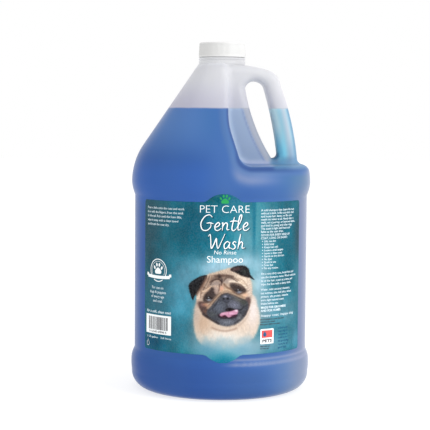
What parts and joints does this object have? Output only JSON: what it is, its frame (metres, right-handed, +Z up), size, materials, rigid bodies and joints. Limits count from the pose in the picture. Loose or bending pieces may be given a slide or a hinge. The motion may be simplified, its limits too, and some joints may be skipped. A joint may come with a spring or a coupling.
{
  "type": "shampoo bottle",
  "caption": "Round gallon jug of pet shampoo with a hollow through handle, ribbed screw cap, lined and sealed mouth, film label and coloured contents.",
  "frame": {"origin": "centre of the jug's base, on the ground plane", "axes": "+Z up along the jug's axis and out of its mouth, +X towards the handle, -Y towards the front of the label"},
  "size_m": [0.1558, 0.1558, 0.3013],
  "materials": {
    "natural_polyethylene": "satin, milky and see-through",
    "white_polypropylene": "moulded, finely ribbed",
    "liner_foam": "soft closed-cell foam",
    "seal_film": "foil laminate",
    "label_film": "printed gloss film",
    "shampoo_liquid": "clear blue liquid"
  },
  "bodies": {
    "jug": {"jug": "natural_polyethylene", "label": "label_film", "shampoo": "shampoo_liquid", "mouth_seal": "seal_film"},
    "liner": {"cap_liner": "liner_foam"},
    "cap": {"screw_cap": "white_polypropylene"}
  },
  "joints": [
    {"name": "cap_rise", "type": "slide", "parent": "jug", "child": "liner", "axis": [0, 0, 1], "range_m": [0, 0.00635]},
    {"name": "cap_turn", "type": "hinge", "parent": "liner", "child": "cap", "pos_m": [0, 0, 0.2954], "axis": [0, 0, 1], "range_deg": [0, 540]}
  ],
  "couplings": [
    {"joint": "cap_turn", "follows": "cap_rise", "rad_per_m": 1484.3}
  ]
}
